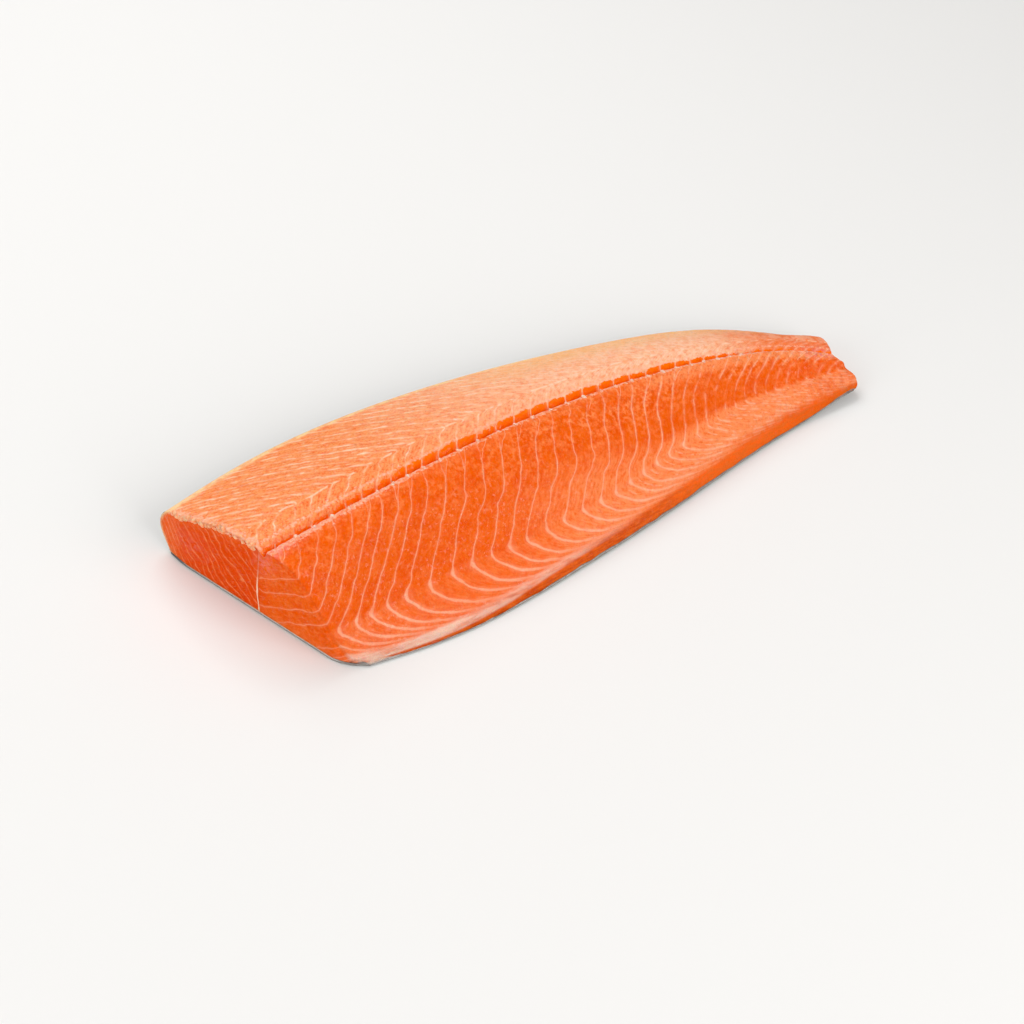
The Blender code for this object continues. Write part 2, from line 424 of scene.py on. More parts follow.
def fat_phase(station, girth):
    """The phase on the upper side: rows of girth by columns of station."""
    tips = np.linspace(-0.5, 1.3, 3000)
    inside = np.clip(tips, COUNT_START, COUNT_END)
    count = tip_count(inside) + np.minimum(tips - COUNT_START, 0) * BLOCKS_PER_STATION
    sweep = mix(0.2, 0.42, ease(0.6, 0.8, tips))
    fan = mix(0.075, 0.02, ease(0.6, 0.8, tips))
    bend = mix(1.4, 1.0, ease(0.48, 0.62, tips))
    rows = []
    for s in girth:
        drop = tip_girth(tips) - s
        below = sweep * np.abs(drop) + fan * (np.abs(drop) / 0.145) ** 4
        climb = np.clip(-drop / (RIDGE - tip_girth(tips)), 0, 1)
        shift = np.where(drop > 0, below, lean(inside) * (1 - (1 - climb) ** bend))
        shift += GROOVE_SLANT * np.clip(s - RIDGE, 0, GROOVE_REACH)
        shift += LOIN_SLANT * (np.clip(s, RIDGE + GROOVE_REACH, SEAM_GIRTH) - RIDGE - GROOVE_REACH)
        shift += SEAM_HOOK * ease(SEAM_GIRTH - 0.015, SEAM_GIRTH + 0.001, s)
        shift += BACK_SLANT * max(s - SEAM_GIRTH, 0.0)
        line = np.maximum.accumulate(tips + shift + 1e-9 * np.arange(len(tips)))
        wobble = 0.0018 * ripples(station, s, 0.045, 0.08, 11)
        wobble += 0.0009 * ripples(station, s, 0.015, 0.022, 12)
        rows.append(np.interp(station + wobble, line, count))
    return np.array(rows)


def stations_of_whole(girth):
    """Stations where a sheet of fat crosses a line of constant girth."""
    station = np.linspace(0.02, 0.985, 4000)
    phase = fat_phase(station, np.array((girth,)))[0]
    return np.interp(np.arange(math.ceil(phase[0]), phase[-1]), phase, station)


print("sheets of fat across the ridge:", len(stations_of_whole(RIDGE)))

# %% [markdown]
# ## The flesh as one closed grid
# The upper side is a fine grid of stations and girths. It goes on down the back and along
# the underside, so every station is a closed ring. The two ends are filled with small
# triangles, because the cut face shows. A knife leaves a crisp edge, but wet flesh rounds
# over: points near an end slide onto an arc whose radius depends on where they are.

# %% Rings of the flesh
LIFT = 1.0
END_ZONE, END_STEPS, MAIN_STEPS = 0.0145, 12, 422
stations = np.concatenate((
    np.linspace(0, END_ZONE, END_STEPS, endpoint=False),
    np.linspace(END_ZONE, 1 - END_ZONE, MAIN_STEPS),
    np.linspace(1, 1 - END_ZONE, END_STEPS, endpoint=False)[::-1],
))
girths = np.concatenate((
    np.linspace(0, SHOULDER, 16),
    np.linspace(SHOULDER, VALLEY, 19)[1:],
    np.linspace(VALLEY, RIDGE, 55)[1:],
    np.linspace(RIDGE, LOIN, 15)[1:],
    np.linspace(LOIN, 0.655, 8)[1:],
    np.linspace(0.655, 0.72, 17)[1:],
    np.linspace(0.72, 1, 38)[1:],
))
top_rows = len(girths)
top = top_surface(stations, girths)
# Towards the tail the shoulder rounds over.
SHOULDER_ROUNDS = 26
near_shoulder = ease(0.012, 0.03, girths) * (1 - ease(0.12, 0.19, girths))
rounding = near_shoulder[:, None] * ease(0.25, 0.6, stations)
for _ in range(SHOULDER_ROUNDS):
    blurred = (top[:-2] + 2 * top[1:-1] + top[2:]) / 4
    top[1:-1] = mix(top[1:-1], blurred, rounding[1:-1, :, None])
# There the belly strip also swells into a lobe, with a crease just above it.
lobe = bell(1.7, 0.16, 0.065, girths) - bell(1.6, 0.31, 0.045, girths)
top[..., 2] += lobe[:, None] * ease(0.5, 0.72, stations) * (1 - 0.6 * ease(0.9, 1, stations))
# At each sheet of fat a bridge of tissue fills part of the groove.
ridge_phase = fat_phase(stations, np.array((RIDGE + 0.02,)))
bridge = (1 - np.abs(np.sin(np.pi * ridge_phase))) ** 1.6
top[..., 2] += 0.25 * bridge * np.where(girths > RIDGE, groove(stations, girths[:, None]).T, 0).T

# %% Back, underside and the closed rings
# The flesh starts a little above the floor, where the skin lies.
lowest = top[0, :, 2] + LIFT
wall = girths <= SHOULDER
shoulder_z = top[wall][-1, :, 2]
rise = (top[wall][:, :, 2] - top[0, :, 2]) / (shoulder_z - top[0, :, 2])
top[wall, :, 2] = mix(lowest, shoulder_z, rise)
back = back_surface(stations, np.linspace(0, 1, 10)[1:], inset=0.1)
back[..., 2] += LIFT * np.linspace(0, 1, 10)[1:, None]
under_share = np.linspace(1, 0, 9)[1:-1, None]
under_y = mix(top[0, :, 1], back[-1, :, 1], under_share)
under = placed(stations, under_y, lowest)
ring = np.concatenate((top, back, under))
print("rings of", len(ring), "points at", len(stations), "stations")

# %% Normals and rounded ends


def along(grid):
    """How the grid changes from one column to the next."""
    return np.gradient(grid, axis=1)


def around(grid):
    """How a closed grid changes from one row to the next."""
    return (np.roll(grid, -1, axis=0) - np.roll(grid, 1, axis=0)) / 2


def unit(vectors):
    return vectors / np.maximum(np.linalg.norm(vectors, axis=-1, keepdims=True), 1e-9)


ring_normal = unit(np.cross(along(ring), around(ring)))
into_cut = unit(np.array((1.0, CUT_SKEW, 0.0)))
into_tail = np.array((-1.0, 0.0, 0.0))

# How round each row's edge is at the cut and at the tail.
row_girth = np.concatenate((girths, np.full(len(back) + len(under), 2.0)))
cut_radius = mix(3.6, 0.9, ease(0.42, 0.54, row_girth))
cut_radius = mix(cut_radius, 0.6, ease(RIDGE, LOIN, row_girth))
cut_radius = mix(cut_radius, 0.35, ease(1.0, 1.2, row_girth) + 1 - ease(0.0, 0.03, row_girth))
tail_radius = mix(1.6, 0.4, ease(1.0, 1.2, row_girth))


def rolled(distance, radius):
    """Where a point this far from a sharp edge goes on the rounded one: (in, down)."""
    angle = np.radians(45 + 45 * np.clip(distance / radius, 0, 1))
    return radius * (1 - np.cos(angle)), radius * (1 - np.sin(angle))


def round_end(points, normals, end_x, inward, radius):
    """Slides the points near one end onto the arc that rounds its edge."""
    radius = np.broadcast_to(radius[:, None], points.shape[:2])
    distance = np.abs(points[..., 0] - end_x(points[..., 1])) * abs(inward[0])
    inner, down = rolled(distance, radius)
    near = distance < radius
    points += np.where(near, inner - distance, 0)[..., None] * inward
    points -= np.where(near, down, 0)[..., None] * normals


sharp_ring = ring.copy()
round_end(ring, ring_normal, cut_x, into_cut, cut_radius)
round_end(ring, ring_normal, tail_x, into_tail, tail_radius)

# %% Fill an end with small triangles
INSIDE_ONLY = 1
CAP_SPACING = 1.0


def end_cap(column, spacing, extra, end_x, inward, radius):
    """Points inside one end and the triangles that join them to its ring."""
    rim = sharp_ring[:, column, 1:]
    rim_normal = unit(ring_normal[:, column, 1:])
    y = np.arange(rim[:, 0].min(), rim[:, 0].max(), spacing)
    z = np.arange(rim[:, 1].min(), rim[:, 1].max(), spacing)
    grid = np.stack(np.meshgrid(y, z), axis=-1)
    grid[1::2, :, 0] += spacing / 2
    grid = grid.reshape(-1, 2)
    if len(extra):
        grid = grid[np.abs(grid[:, None] - extra).max(-1).min(-1) > 0.6 * spacing]
        grid = np.vstack((grid, extra))
    gap = grid[:, None] - rim
    nearest = np.linalg.norm(gap, axis=-1).argmin(1)
    depth = -(gap[np.arange(len(grid)), nearest] * rim_normal[nearest]).sum(-1)
    under_top = grid[:, 1] < np.interp(grid[:, 0], rim[:top_rows, 0], rim[:top_rows, 1])
    right = rim[top_rows - 1 : top_rows + len(back)]
    inside_back = grid[:, 0] < np.interp(-grid[:, 1], -right[:, 1], right[:, 0])
    low_edge = grid[:, 1] > rim[0, 1] + 0.4 * spacing
    keep = (under_top | (grid[:, 0] > rim[top_rows - 1, 0])) & inside_back & low_edge
    keep &= depth > 0.5 * spacing
    grid, nearest, depth = grid[keep], nearest[keep], depth[keep]
    flat = np.vstack((rim, grid))
    loop = [(i, (i + 1) % len(rim)) for i in range(len(rim))]
    joined = delaunay_2d_cdt([tuple(point) for point in flat], loop, [], INSIDE_ONLY, 1e-6)
    origin = [sources[0] for sources in joined[3]]
    triangles = np.array([[origin[i] for i in face] for face in joined[2]])
    # From its side, too, a point near the edge moves onto the arc.
    radius = radius[nearest]
    angle = np.radians(45 - 45 * np.clip(depth / radius, 0, 1))
    inner = radius * (1 - np.cos(angle))
    down = radius * (1 - np.sin(angle))
    near = depth < radius
    moved = grid + np.where(near, depth - down, 0)[:, None] * rim_normal[nearest]
    points = np.column_stack((end_x(moved[:, 0]), moved))
    points += np.where(near, inner, 0)[:, None] * inward
    return grid, points, triangles, depth, nearest


# %% The two ends
# Extra points lie on both sides of the septum, the thin sheet between belly and loin.
SEPTUM_Y = -0.7
beside_septum = [(SEPTUM_Y + side, z) for z in np.arange(1.8, 38, 0.9) for side in (-0.2, 0.2)]
cut_cap = end_cap(0, CAP_SPACING, np.array(beside_septum), cut_x, into_cut, cut_radius)
cut_flat, cut_points, cut_triangles, cut_depth, cut_nearest = cut_cap
tail_cap = end_cap(-1, CAP_SPACING, np.array([]), tail_x, into_tail, tail_radius)
tail_flat, tail_points, tail_triangles = tail_cap[:3]
print("cut face:", len(cut_triangles), "triangles, tail end:", len(tail_triangles))

# %% Join the rings and the ends into one mesh


def grid_faces(rows, columns, closed):
    """Quads of a grid whose points are numbered row by row."""
    index = np.arange(rows * columns).reshape(rows, columns)
    after = np.roll(index, -1, axis=0) if closed else index[1:]
    here = index if closed else index[:-1]
    corners = (here[:, :-1], here[:, 1:], after[:, 1:], after[:, :-1])
    return np.stack(corners, axis=-1).reshape(-1, 4)


rows, columns = ring.shape[:2]
ring_count = rows * columns


def numbered(triangles, column, first_inner):
    """Cap triangles, in the numbers that their points have in the whole mesh."""
    on_ring = triangles * columns + column % columns
    return np.where(triangles < rows, on_ring, triangles - rows + first_inner)


faces = grid_faces(rows, columns, closed=True).tolist()
faces += numbered(cut_triangles, 0, ring_count)[:, ::-1].tolist()
faces += numbered(tail_triangles, -1, ring_count + len(cut_points)).tolist()
flesh_points = np.vstack((ring.reshape(-1, 3), cut_points, tail_points))


def new_object(name, points_mm, faces):
    """A smooth mesh object with its place in its mesh, as the frame's own are."""
    mesh = bpy.data.meshes.new(name)
    mesh.from_pydata(((points_mm + to_frame) * MM).tolist(), [], faces)
    mesh.shade_smooth()
    piece = bpy.data.objects.new(name, mesh)
    scene.collection.objects.link(piece)
    return piece


flesh = new_object("flesh", flesh_points, faces)
print("flesh:", len(flesh_points), "points,", len(faces), "faces")

# %% [markdown]
# ## What every point of the flesh knows
# The material needs to know more than where a point is: how far the next sheet of fat
# lies, how thick it is there, and whether the point is belly, groove or loin. Each of
# these is a smooth field over the grid, stored on the mesh as an attribute. Painting
# them by hand would work too, but as formulas of station and girth they stay sharp and
# can be changed in one line.

# %% The phase on the grid, and tools for fields
T, S = stations[None, :], girths[:, None]
tip = tip_girth(T)


def soften(field, weight, rounds):
    """Blurs a field between neighbouring rows, where the weight is 1."""
    for _ in range(rounds):
        blurred = field.copy()
        blurred[1:-1] = (field[:-2] + 2 * field[1:-1] + field[2:]) / 4
        field = mix(field, blurred, weight)
    return field


# The sheets turn at the tips in a tight bow, not in a point.
bows = bell(1, tip, 0.022, S) + bell(0.6, SEAM_GIRTH + 0.004, 0.01, S)
phase = soften(fat_phase(stations, girths), bows, 5)


def per_millimetre(field, grid):
    """How fast a field changes over the surface, whichever way it changes most."""
    by_row, by_column = np.gradient(field)
    edge_row, edge_column = np.gradient(grid, axis=(0, 1))
    rr = (edge_row**2).sum(-1)
    cc = (edge_column**2).sum(-1)
    rc = (edge_row * edge_column).sum(-1)
    area = np.maximum(rr * cc - rc**2, 1e-9)
    steep = (by_column**2 * rr - 2 * by_row * by_column * rc + by_row**2 * cc) / area
    return np.sqrt(np.maximum(steep, 1e-6))


def band(value, start, end, soft):
    """1 between start and end, and 0 outside, with soft edges."""
    return ease(start - soft, start + soft, value) * (1 - ease(end - soft, end + soft, value))


# %% Which part of the upper side a point belongs to
under_tip = 1 - ease(tip - 0.012, tip + 0.012, S)
at_tip = bell(1, tip, 0.02, S) * (1 - ease(0.6, 0.75, T))
in_groove = band(S, 0.57, 0.604, 0.006)
in_loin = ease(0.564, 0.568, S)
past_seam = ease(SEAM_GIRTH - 0.008, SEAM_GIRTH + 0.012, S)
toward_tail = ease(0.8, 0.92, T)
in_crease = band(S, 0.29, 0.44, 0.04) * ease(0.62, 0.76, T)
in_rear = ease(0.3, 0.5, T)

# %% The sheets of fat on the upper side: width in millimetres, strength and breaks
width = mix(0.26, 0.20, ease(0.42, 0.55, S))
width = mix(width, mix(0.56, 0.36, ease(0.5, 0.72, T)), under_tip)
width = np.maximum(width, 0.85 * at_tip)
width = np.maximum(width, 0.34 * ease(0.78, 0.9, T))
width = mix(width, 0.24, in_groove)
width = mix(width, mix(0.36, 0.56, past_seam), in_loin)

strength = mix(0.68, 0.4, ease(0.44, 0.55, S))
strength = mix(strength, mix(0.9, 0.6, ease(0.5, 0.72, T)), under_tip)
strength = np.maximum(strength, at_tip)
strength = mix(strength, mix(0.75, 0.45, ease(0.35, 0.6, T)), in_loin)
strength = mix(strength, mix(0.8, 0.5, ease(0.4, 0.62, T)), past_seam)
strength = strength * (1 - 0.5 * in_groove)
strength = mix(strength, mix(0.55, 0.34, under_tip), toward_tail)
strength = strength * ease(0.05, 0.12, S) * (1 - 0.5 * in_crease)

broken = mix(0.15 + 0.35 * ease(0.42, 0.52, S), 0.5, in_loin)
broken = mix(broken * (1 - 0.5 * under_tip), 0.68, past_seam)
broken = mix(broken, 0.8, ease(0.58, 0.78, T) * (1 - in_loin))
doubling = 0.5 * under_tip * ease(0.35, 0.6, T) * ease(0.09, 0.13, S) + 0.4 * past_seam

# %% Colours on the upper side
pallor = mix(0.3, 1.0, in_rear) * under_tip * (1 - 0.5 * ease(0.68, 0.82, T))
# Near the tail the top of the lobe is painted paler: a painted highlight where it faces the light.
narrowing = ease(0.5, 0.65, T)
lobe_edge = mix(mix(0.33, 0.285, narrowing), 0.25, ease(0.76, 0.86, T))
lit_lobe_top = band(S, 0.095, lobe_edge, mix(0.07, 0.028, narrowing))
lit_lobe_top = lit_lobe_top * in_rear * mix(0.85, 1.25, ease(0.6, 0.75, T))
pallor = np.maximum(pallor, lit_lobe_top * (1 - 0.7 * ease(0.86, 0.96, T)))
pallor = np.maximum(pallor, 0.4 * ease(0.5, 0.555, S) * (1 - in_loin))
pallor = np.maximum(pallor, 1.3 * ease(0.45, 0.52, S) * ease(0.58, 0.75, T) * (1 - in_loin))
mottle = mix(0.35, 1.0, ease(0.3, 0.5, S)) * mix(0.6, 1.0, in_rear)
mottle = mix(mottle, mix(0.25, 0.6, in_rear), under_tip) * (1 - in_loin)
mottle = (mottle + 0.35 * ease(0.62, 0.85, T)) * ease(0.08, 0.12, S) * (1 - 0.5 * in_crease)
membrane = mix(0.88, 0.6, ease(0.1, 0.3, T)) * (1 - ease(0.36, 0.56, T))
membrane = membrane * band(S, mix(0.022, 0.05, ease(0.1, 0.4, T)), 0.078, 0.008)
membrane = np.maximum(membrane, 0.8 * (1 - ease(0.02, 0.04, T)) * (1 - ease(0.08, 0.11, S)))
wall_top = mix(0.058, 0.082, ease(0.7, 0.9, T))
side_wall = 1 - ease(wall_top, wall_top + 0.016, S)

# %% The loin, the rim of the groove and the seam
loin = in_loin * (1 - 0.75 * ease(0.8, 0.93, T + 0.1 * (S - 0.8)))
# The loin pales towards the middle: partly its own paler colour, partly a painted sheen of the light from
# above.
loin_pale_and_sheen = mix(0.05, 0.72, ease(0.18, 0.66, T)) * (1 - 0.8 * ease(0.8, 0.92, T))
cream = ease(0.76, 0.95, S) * band(T, 0.5, 0.92, 0.1)
back_fat = ease(0.98, 0.994, S) * (1 - ease(0.55, 0.7, T))
rim = bell(1, 0.553, mix(0.022, 0.011, ease(0.1, 0.35, T)), S) * mix(1, 0.7, ease(0.2, 0.4, T))
rim = rim + bell(0.8, 0.612, 0.012, S)
rim = np.maximum(rim, bell(1, 0.0, 0.015, T) * ease(0.55, 0.62, S))
block_reach = mix(0.018, 0.035, ease(0.12, 0.3, T)) * mix(1, 0.5, ease(0.68, 0.86, T))
waves = mix(0.3, 1.0, ease(0.6, 0.85, T)) * (1 - ease(0.2, 0.4, S))
girth_mm = np.linalg.norm(np.gradient(top, axis=0), axis=-1) / np.gradient(girths)[:, None]
# Where a point has no seam near it, its distance is just a large one.
FAR_MM = 9.0
to_seam = (S - SEAM_GIRTH - 0.006 * ripples(T, 0.0, 0.02, 1, 5)) * girth_mm
seam_mm = np.where(S > 0.64, to_seam, FAR_MM)
blush = bell(1, 0.0, 0.035, T) * bell(1, 0.55, 0.03, S)
blush = np.maximum(blush, bell(1, 0.975, 0.03, T) * bell(1, 0.55, 0.06, S))

# %% Fields on the cut face
# The lines of the belly half run into those of the upper side: both use one phase.
SPREAD = 0.72
LOIN_SPACING = 7.6
top_height = sharp_ring[:top_rows, 0, 2] - SPREAD * (SEPTUM_Y - sharp_ring[:top_rows, 0, 1])
half = slice(0, np.searchsorted(girths, 0.55))


def cut_phase(y, z):
    """(phase, its change for each millimetre) on the cut face."""
    order = np.argsort(top_height[half])
    at, value = top_height[half][order], phase[half, 0][order]
    slope = np.gradient(value, at)
    level = z - SPREAD * (SEPTUM_Y - y)
    belly = np.interp(level, at, value), np.interp(level, at, slope) * math.hypot(1, SPREAD)
    loin = (z - y - 0.012 * y**2) / LOIN_SPACING, np.hypot(1, 1 + 0.024 * y) / LOIN_SPACING
    is_belly = y < SEPTUM_Y
    return np.where(is_belly, belly[0], loin[0]), np.abs(np.where(is_belly, belly[1], loin[1]))


def everywhere(upper, cut, skin_side=0.0, tail=None):
    """One value for each point of the flesh, from the fields of its parts."""
    whole = np.full((rows, columns), skin_side, float)
    whole[:top_rows] = upper
    on_tail = np.full(len(tail_points), whole[top_rows // 2, -1]) if tail is None else tail
    on_cut = np.broadcast_to(cut, len(cut_points))
    return np.concatenate((whole.ravel(), on_cut, on_tail))


cut_y, cut_z = cut_flat.T
face_phase, face_rate = cut_phase(cut_y, cut_z)
nearest_row = np.abs(tail_flat[:, :1] - sharp_ring[:top_rows, -1, 1]).argmin(1)
belly_side = cut_y < SEPTUM_Y
top_of_cut = np.interp(cut_y, sharp_ring[:top_rows, 0, 1], sharp_ring[:top_rows, 0, 2])
below_top = top_of_cut - cut_z
loin_lines = mix(0.6, 0.45, ease(20, 40, cut_y)) * ease(1.5, 6, below_top)
cut_strength = np.where(belly_side, 0.5 * ease(40, 26, cut_z + 0.35 * cut_y), loin_lines)
cut_blush = bell(0.5, -4, 4.5, cut_y) * bell(1, 36, 7.5, cut_z)
cut_blush += bell(0.25, 33, 9, cut_y) * bell(1, 17, 7, cut_z)
cut_pale = 0.3 * ease(36, 46, cut_y) + 0.15 * ease(9, 1, cut_z)
cut_rim = ease(4.0, 0.5, below_top) * ease(-1, 2, cut_y)
# Near its top and back edges the cut is painted lighter, a painted light that blends its shading into the
# top.
cut_edge_light = ease(9, 2, np.minimum(below_top, 46 - cut_y)) * ease(0, 4, cut_y)
septum_bend = 0.7 * np.sin(cut_z / 9.0) * ease(2, 12, cut_z)
septum = 1 - 0.85 * ease(14, 30, cut_z)
near_skin = ease(1.5, 0.4, cut_depth) * (cut_nearest >= top_rows - 3)

# %% All fields of the flesh
# Each has its values on the upper side and on the cut face, then its value on the skin
# side where that isn't 0, and last its values on the tail end where they are its own.
fields = {
    "fat_phase": (phase, face_phase, 0.0, phase[nearest_row, -1]),
    "fat_rate": (per_millimetre(phase, top), np.maximum(face_rate, 0.02), 0.1),
    "fat_width": (width, np.where(belly_side, 0.26, 0.32), 0.2),
    "fat_strength": (strength, cut_strength),
    "girth": (S, cut_y / 120.0, 1.0),
    "broken": (broken, np.where(belly_side, 0.25, 0.45)),
    "doubling": (doubling, np.where(belly_side, 0.0, 0.25)),
    "pallor": (pallor, cut_pale, 0.4),
    "loin": (loin, 0.0, 1.0),
    "loin_pale_and_sheen": (loin_pale_and_sheen, 0.0, 0.6),
    "mottle": (mottle, 0.3),
    "cut_face": (0.0, mix(0.1, 1.0, ease(-6, 3, cut_y)) - 0.5 * cut_edge_light),
    "side_wall": (side_wall, 0.0),
    # Towards the tail, where the side wall is painted lit.
    "rear_wall_light": (ease(0.5, 0.7, T), 0.0),
    "membrane": (membrane, 0.0),
    "cream": (cream, 0.0),
    "back_fat": (back_fat, 0.8 * near_skin * ease(4, 9, cut_z), 1 - ease(0.8, 0.95, T)),
    "rim": (rim, cut_rim),
    "groove": (in_groove, 0.0),
    "block_reach": (block_reach, 0.0),
    "waves": (waves, 0.0),
    "blush": (blush, cut_blush),
    "seam_mm": (seam_mm, FAR_MM, FAR_MM),
    "septum_mm": (FAR_MM, cut_y - SEPTUM_Y - septum_bend, FAR_MM),
    "septum": (0.0, septum),
    "relief": (1.0, 1.0),
}


def store(piece, name, values, kind="FLOAT", part="value"):
    """Puts one value for each point on the mesh of a piece."""
    field = piece.data.attributes.new(name, kind, "POINT")
    field.data.foreach_set(part, np.ascontiguousarray(values, np.float32).ravel())


for name, parts in fields.items():
    store(flesh, name, everywhere(*parts))
print("fields on the flesh:", ", ".join(fields))

# %% [markdown]
# ## Relief by Geometry Nodes
# The blocks of muscle swell a little between the sheets of fat, and most of all along
# the groove, where each block is a small cushion. The surface also has the fine grain of
# torn fibres, a ragged rim beside the groove, and low waves near the tail. All of it
# follows rules, so a node tree moves the points along their normals, with named inputs
# for the depths and sizes. The result is taken back as a plain mesh.

# %% Helpers for geometry trees


class Tree(Nodes):
    """A geometry tree with named inputs, which have default values."""

    def __init__(self, name, inputs):
        tree = bpy.data.node_groups.new(name, "GeometryNodeTree")
        super().__init__(tree, "GeometryNodeInputPosition", "Position")
        kinds = {int: "NodeSocketInt", float: "NodeSocketFloat"}
        for way in ("OUTPUT", "INPUT"):
            tree.interface.new_socket("Geometry", in_out=way, socket_type="NodeSocketGeometry")
        for label, value in inputs.items():
            kind = kinds[type(value)]
            socket = tree.interface.new_socket(label, in_out="INPUT", socket_type=kind)
            socket.default_value = value
        tree.interface.new_socket("Material", in_out="INPUT", socket_type="NodeSocketMaterial")
        self.inputs = inputs
        self.entry = tree.nodes.new("NodeGroupInput")
        self.exit = tree.nodes.new("NodeGroupOutput")

    def given(self, name):
        """One of the tree's own inputs."""
        return Wire(self, self.entry.outputs[name])

    def field(self, name, kind="FLOAT"):
        """A field that is stored on the mesh."""
        inputs = {"Name": name}
        return self.add("GeometryNodeInputNamedAttribute", inputs, "Attribute", data_type=kind)

    def chance(self, low, high, shift):
        """A random value for each point, from the tree's seed."""
        inputs = {"Min": low, "Max": high, "Seed": self.given("Seed") + shift}
        return self.add("FunctionNodeRandomValue", inputs, "Value", data_type="FLOAT")

    def moved(self, geometry, **inputs):
        return self.add("GeometryNodeSetPosition", {"Geometry": geometry, **inputs})

    def copies(self, points, piece, turn, scale):
        inputs = {"Points": points, "Instance": piece, "Rotation": turn, "Scale": scale}
        return self.add("GeometryNodeInstanceOnPoints", inputs)

    def real(self, geometry):
        return self.add("GeometryNodeRealizeInstances", {"Geometry": geometry})

    def end(self, geometry):
        """Every tree ends in real geometry with its material set."""
        inputs = {"Geometry": self.real(geometry), "Material": self.given("Material")}
        done = self.add("GeometryNodeSetMaterial", inputs)
        self.tree.links.new(done.socket, self.exit.inputs["Geometry"])
        return self


def keep_result(piece):
    """Turns what a piece's modifiers make into its own plain mesh."""
    bpy.context.view_layer.update()
    graph = bpy.context.evaluated_depsgraph_get()
    mesh = bpy.data.meshes.new_from_object(piece.evaluated_get(graph), depsgraph=graph)
    piece.modifiers.clear()
    old, piece.data = piece.data, mesh
    bpy.data.meshes.remove(old)
    mesh.name = piece.name
    triangles = sum(len(face.vertices) - 2 for face in mesh.polygons)
    print(f"{piece.name}: {len(mesh.vertices)} points, {triangles} triangles")


def run_tree(piece, nodes, material):
    """Runs a tree on a piece, with the tree's own values and a material."""
    values = {**nodes.inputs, "Material": material}
    modifier = piece.modifiers.new(nodes.tree.name, "NODES")
    modifier.node_group = nodes.tree
    for socket in nodes.tree.interface.items_tree:
        if socket.in_out == "INPUT" and socket.name in values:
            modifier[socket.identifier] = values[socket.name]
    keep_result(piece)


# %% The relief tree
RELIEF = {
    "Furrow depth": 0.16 * MM,
    "Furrow reach": 2.2,
    "Cushion height": 0.4 * MM,
    "Cushion reach": 3.4,
    "Crumple depth": 0.7 * MM,
    "Crumple size": 3.0 * MM,
    "Grain depth": 0.22 * MM,
    "Grain size": 2.6 * MM,
    "Wave depth": 1.5 * MM,
    "Wave size": 13.0 * MM,
    "Rag depth": 1.1 * MM,
    "Rag size": 2.4 * MM,
    "Seed": 4.0,
}


def relief_tree():
    """Moves every point along its normal, by the sum of six kinds of relief."""
    nodes = Tree("muscle relief", RELIEF)
    given, field = nodes.given, nodes.field

    def grain(name, seed_shift):
        """Noise of a named size and depth, around 0."""
        fineness = nodes.add("ShaderNodeMath", {0: 1.0, 1: given(f"{name} size")}, operation="DIVIDE")
        inputs = {"Vector": nodes.spot, "W": given("Seed") + seed_shift}
        inputs.update({"Scale": fineness, "Detail": 2.0})
        noise = nodes.add("ShaderNodeTexNoise", inputs, noise_dimensions="4D")
        return (noise - 0.5) * given(f"{name} depth")

    to_line = abs((field("fat_phase") + 0.5).math("FRACT") - 0.5) / field("fat_rate")
    furrow = to_line.rising(0.0, given("Furrow reach")) - 1.0
    height = furrow * given("Furrow depth") * field("fat_strength")
    cushion = to_line.rising(0.0, given("Cushion reach")) * field("groove")
    height = height + cushion * given("Cushion height") + grain("Grain", 0.0)
    height = height + grain("Crumple", 3.0) * field("mottle")
    height = height + grain("Rag", 7.0) * field("rim")
    height = height + grain("Wave", 9.0) * field("waves")
    height = height * field("relief")
    normal = nodes.add("GeometryNodeInputNormal")
    offset = nodes.vector("SCALE", {0: normal, "Scale": height})
    return nodes.end(nodes.moved(given("Geometry"), Offset=offset))


# %% [markdown]
# ## The material of the flesh
# Raw salmon is orange all through, wet, and a little see-through. Its colour is mixed
# in layers: the muscle, finely mottled where fibres end; deeper orange in the groove,
# with a painted shade along its bottom; deeper orange on the side wall, painted darker
# as shade near the cut and brighter as light towards the tail; a paler loin, partly its
# own colour and partly a painted sheen; a painted highlight on the lobe near the tail and
# painted light at the edges of the cut; and over them the fat, drawn from the phase with
# a sharp core and a soft halo. Subsurface scattering makes the thin fat glow, and a thin
# coat gives the wet gleam.

# %% Colours of the flesh
MUSCLE = srgb(236, 93, 2)
MUSCLE_DEEP = srgb(232, 84, 1)
MUSCLE_PALE = srgb(255, 144, 88)
FLECK = srgb(255, 140, 80)
CUT_ORANGE = srgb(222, 66, 1)
CUT_FAT = srgb(246, 132, 66)
GROOVE_ORANGE = srgb(255, 112, 6)
# The red of the groove's bottom is a painted shade.
GROOVE_SHADE_RED = srgb(240, 62, 6)
# The side wall: its deep red is darkened as painted shade near the cut, and its bright orange is painted
# light towards the tail.
SIDE_SHADED_RED = srgb(208, 76, 16)
SIDE_ORANGE = srgb(236, 102, 26)
SIDE_LIT_ORANGE = srgb(250, 98, 12)
LOIN_ORANGE = srgb(238, 96, 24)
LOIN_PEACH = srgb(249, 150, 86)
# The loin's pale colour, which also carries a painted sheen.
LOIN_PALE_SHEEN = srgb(255, 200, 166)
CREAM = srgb(248, 178, 110)
EDGE_FAT = srgb(252, 206, 150)
RIM_PINK = srgb(255, 180, 150)
FAT = srgb(255, 172, 137)
PALE_FAT = srgb(255, 210, 178)
MEMBRANE = srgb(250, 206, 184)
BLUSH = srgb(240, 124, 116)

# %% The muscle


